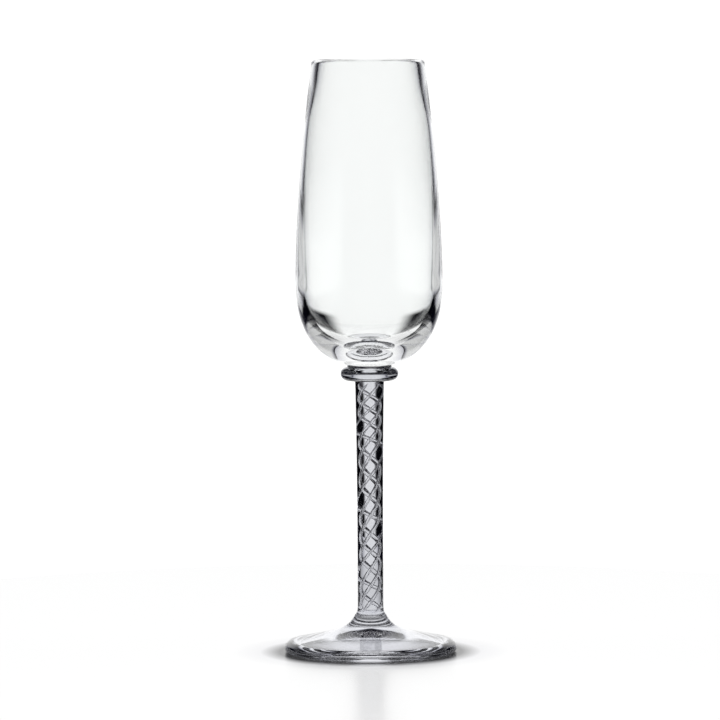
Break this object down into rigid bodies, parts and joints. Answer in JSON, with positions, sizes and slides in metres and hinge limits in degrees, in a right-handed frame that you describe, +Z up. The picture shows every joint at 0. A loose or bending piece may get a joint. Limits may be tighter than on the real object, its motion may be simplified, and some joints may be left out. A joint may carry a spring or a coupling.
{
  "type": "champagne flute",
  "caption": "Tall hand-blown champagne flute with a narrowing bowl, a thick clear base, a solid collar ring, an air-twist stem and a round foot.",
  "frame": {"origin": "centre of the flat ring that the foot rests on", "axes": "+Z up along the stem, through the middle of the bowl's mouth; the glass is round about Z"},
  "size_m": [0.07, 0.07, 0.24],
  "materials": {
    "bowl_glass": "fire-polished clear crystal",
    "ring_glass": "fire-polished clear crystal",
    "stem_glass": "fire-polished clear crystal",
    "air_twist": "bright air channel in clear glass",
    "foot_glass": "polished clear crystal"
  },
  "bodies": {
    "root": {"bowl": "bowl_glass", "collar_ring": "ring_glass", "stem": "stem_glass", "air_thread_1": "air_twist", "air_thread_2": "air_twist", "air_thread_3": "air_twist", "air_thread_4": "air_twist", "foot": "foot_glass"}
  },
  "joints": []
}
